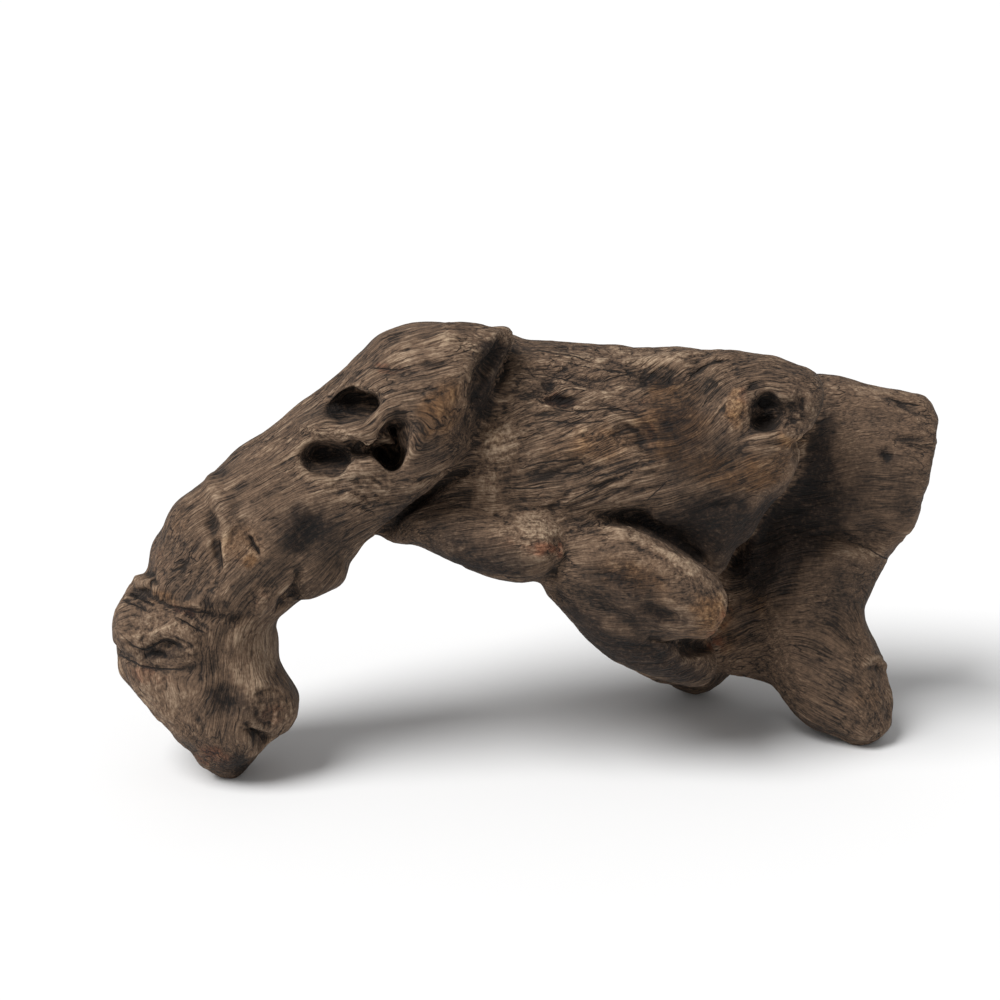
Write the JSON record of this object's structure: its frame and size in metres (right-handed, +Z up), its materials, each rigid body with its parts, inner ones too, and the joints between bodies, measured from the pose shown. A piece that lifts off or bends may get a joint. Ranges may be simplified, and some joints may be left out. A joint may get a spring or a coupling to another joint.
{
  "type": "driftwood log",
  "caption": "Weathered ebony driftwood log for an aquarium: a furrowed arch with a hollowed knuckle, a knot hole and a deep cleft, which stands on its feet.",
  "frame": {"origin": "middle of the log's outline, on the surface that its feet stand on", "axes": "+X runs along the log from its bent leg towards its broad end, +Z is up, and -Y is the side with the hollows and the knot hole"},
  "size_m": [0.3158, 0.1202, 0.1769],
  "materials": {
    "wood": "dry weathered grain, matt"
  },
  "bodies": {
    "root": {"ebony_log": "wood"}
  },
  "joints": []
}
